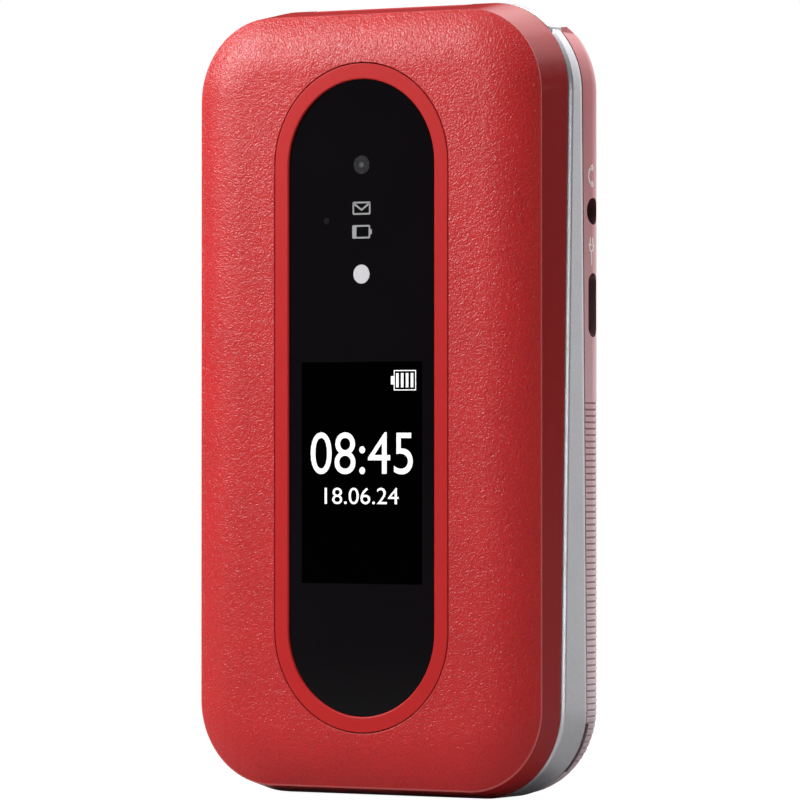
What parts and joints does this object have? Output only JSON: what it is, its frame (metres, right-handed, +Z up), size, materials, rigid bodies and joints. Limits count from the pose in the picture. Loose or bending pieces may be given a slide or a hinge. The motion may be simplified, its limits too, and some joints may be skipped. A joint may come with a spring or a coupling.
{
  "type": "flip phone",
  "caption": "Folding phone that opens on a hinge at its top end, with a keypad, inner and outer displays, side sockets and a lift-off battery cover.",
  "frame": {"origin": "middle of the closed phone's footprint, at the level of the end that it stands on", "axes": "+Z up along the phone to the hinge end, -Y out of the lid's outer face, +X to the side with the sockets"},
  "size_m": [0.055, 0.019, 0.1059],
  "materials": {
    "red_shell": "red lacquer with a fine leather-like grain",
    "red_smooth": "smooth satin red lacquer",
    "red_cover": "satin red lacquer, fine ribs over the lower half",
    "silver": "satin silver paint with metal flake",
    "silver_caps": "satin silver paint with metal flake",
    "black_glass": "black tinted window, polished",
    "lens": "clear lens over a dark sensor",
    "display_black": "display module, black",
    "lamp_white": "translucent white lamps",
    "board_green": "green solder mask",
    "frame_black": "fine matt black moulding",
    "speaker_black": "black plastic and film",
    "steel": "bare steel",
    "mesh_steel": "dark woven steel mesh",
    "rubber_dark": "dark grey rubber",
    "flex_amber": "amber polyimide film",
    "key_black": "satin black with white numerals",
    "membrane": "translucent grey silicone",
    "battery_wrap": "dark wrap, bare of print",
    "contact_gold": "gold plated springs in a black case",
    "chassis_grey": "dark grey moulding"
  },
  "bodies": {
    "base": {"hinge_barrel": "red_smooth", "hinge_case": "steel", "hinge_cam": "steel", "hinge_spring": "steel", "hinge_pin": "steel", "base_flex": "flex_amber", "silver_frame": "silver", "inner_chassis": "chassis_grey", "main_board": "board_green", "shield_cans": "steel", "keypad_membrane": "membrane", "key_domes": "steel", "microphone": "steel", "headphone_socket": "frame_black", "usb_socket": "steel", "loudspeaker": "speaker_black", "vibration_motor": "steel", "battery": "battery_wrap", "battery_contacts": "contact_gold", "card_slots": "steel", "antenna": "flex_amber", "base_screws": "steel"},
    "lid": {"lid_outer_shell": "red_shell", "window_bezel": "red_smooth", "outer_window": "black_glass", "outer_display": "display_black", "camera_module": "lens", "outer_lights": "lamp_white", "lid_circuit_board": "board_green", "lid_inner_frame": "frame_black", "main_window": "black_glass", "main_display": "display_black", "earpiece": "speaker_black", "earpiece_mesh": "mesh_steel", "lid_magnet": "steel", "lid_screws": "steel", "lid_bumpers": "rubber_dark", "lid_flex": "flex_amber", "hinge_end_caps": "silver_caps", "hinge_shaft": "steel"},
    "battery_cover_body": {"battery_cover": "red_cover"},
    "nav_rocker_body": {"nav_rocker": "silver"},
    "volume_rocker_body": {"volume_rocker": "silver"},
    "assistance_button_body": {"assistance_button": "silver"},
    "key_0_body": {"key_0": "key_black"},
    "key_1_body": {"key_1": "key_black"},
    "key_2_body": {"key_2": "key_black"},
    "key_3_body": {"key_3": "key_black"},
    "key_4_body": {"key_4": "key_black"},
    "key_5_body": {"key_5": "key_black"},
    "key_6_body": {"key_6": "key_black"},
    "key_7_body": {"key_7": "key_black"},
    "key_8_body": {"key_8": "key_black"},
    "key_9_body": {"key_9": "key_black"},
    "key_star_body": {"key_star": "key_black"},
    "key_hash_body": {"key_hash": "key_black"},
    "call_key_body": {"call_key": "key_black"},
    "end_key_body": {"end_key": "key_black"},
    "soft_key_left_body": {"soft_key_left": "key_black"},
    "soft_key_right_body": {"soft_key_right": "key_black"}
  },
  "joints": [
    {"name": "lid_hinge", "type": "hinge", "parent": "base", "child": "lid", "pos_m": [0, -0.00086, 0.10248], "axis": [-1, 0, 0], "range_deg": [0, 160]},
    {"name": "cover_lift", "type": "slide", "parent": "base", "child": "battery_cover_body", "axis": [0, 1, 0], "range_m": [0, 0.012]},
    {"name": "nav_tilt", "type": "hinge", "parent": "base", "child": "nav_rocker_body", "pos_m": [0, 0.00024, 0.06645], "axis": [1, 0, 0], "range_deg": [-1.8, 1.8], "stiffness_Nm_per_rad": 0.3},
    {"name": "volume_tilt", "type": "hinge", "parent": "base", "child": "volume_rocker_body", "pos_m": [-0.0265, 0.00075, 0.079], "axis": [0, 1, 0], "range_deg": [-1, 1], "stiffness_Nm_per_rad": 0.2},
    {"name": "assistance_press", "type": "slide", "parent": "base", "child": "assistance_button_body", "axis": [0, -1, 0], "range_m": [0, 0.0004], "stiffness_N_per_m": 4000},
    {"name": "key_0_press", "type": "slide", "parent": "base", "child": "key_0_body", "axis": [0, 0.9997, -0.0251], "range_m": [0, 0.00035], "stiffness_N_per_m": 4000},
    {"name": "key_1_press", "type": "slide", "parent": "base", "child": "key_1_body", "axis": [0, 0.9997, -0.0251], "range_m": [0, 0.00035], "stiffness_N_per_m": 4000},
    {"name": "key_2_press", "type": "slide", "parent": "base", "child": "key_2_body", "axis": [0, 0.9997, -0.0251], "range_m": [0, 0.00035], "stiffness_N_per_m": 4000},
    {"name": "key_3_press", "type": "slide", "parent": "base", "child": "key_3_body", "axis": [0, 0.9997, -0.0251], "range_m": [0, 0.00035], "stiffness_N_per_m": 4000},
    {"name": "key_4_press", "type": "slide", "parent": "base", "child": "key_4_body", "axis": [0, 0.9997, -0.0251], "range_m": [0, 0.00035], "stiffness_N_per_m": 4000},
    {"name": "key_5_press", "type": "slide", "parent": "base", "child": "key_5_body", "axis": [0, 0.9997, -0.0251], "range_m": [0, 0.00035], "stiffness_N_per_m": 4000},
    {"name": "key_6_press", "type": "slide", "parent": "base", "child": "key_6_body", "axis": [0, 0.9997, -0.0251], "range_m": [0, 0.00035], "stiffness_N_per_m": 4000},
    {"name": "key_7_press", "type": "slide", "parent": "base", "child": "key_7_body", "axis": [0, 0.9997, -0.0251], "range_m": [0, 0.00035], "stiffness_N_per_m": 4000},
    {"name": "key_8_press", "type": "slide", "parent": "base", "child": "key_8_body", "axis": [0, 0.9997, -0.0251], "range_m": [0, 0.00035], "stiffness_N_per_m": 4000},
    {"name": "key_9_press", "type": "slide", "parent": "base", "child": "key_9_body", "axis": [0, 0.9997, -0.0251], "range_m": [0, 0.00035], "stiffness_N_per_m": 4000},
    {"name": "key_star_press", "type": "slide", "parent": "base", "child": "key_star_body", "axis": [0, 0.9997, -0.0251], "range_m": [0, 0.00035], "stiffness_N_per_m": 4000},
    {"name": "key_hash_press", "type": "slide", "parent": "base", "child": "key_hash_body", "axis": [0, 0.9997, -0.0251], "range_m": [0, 0.00035], "stiffness_N_per_m": 4000},
    {"name": "call_key_press", "type": "slide", "parent": "base", "child": "call_key_body", "axis": [0, 0.9997, -0.0251], "range_m": [0, 0.00035], "stiffness_N_per_m": 4000},
    {"name": "end_key_press", "type": "slide", "parent": "base", "child": "end_key_body", "axis": [0, 0.9997, -0.0251], "range_m": [0, 0.00035], "stiffness_N_per_m": 4000},
    {"name": "soft_key_left_press", "type": "slide", "parent": "base", "child": "soft_key_left_body", "axis": [0, 0.9997, -0.0251], "range_m": [0, 0.00035], "stiffness_N_per_m": 4000},
    {"name": "soft_key_right_press", "type": "slide", "parent": "base", "child": "soft_key_right_body", "axis": [0, 0.9997, -0.0251], "range_m": [0, 0.00035], "stiffness_N_per_m": 4000}
  ]
}
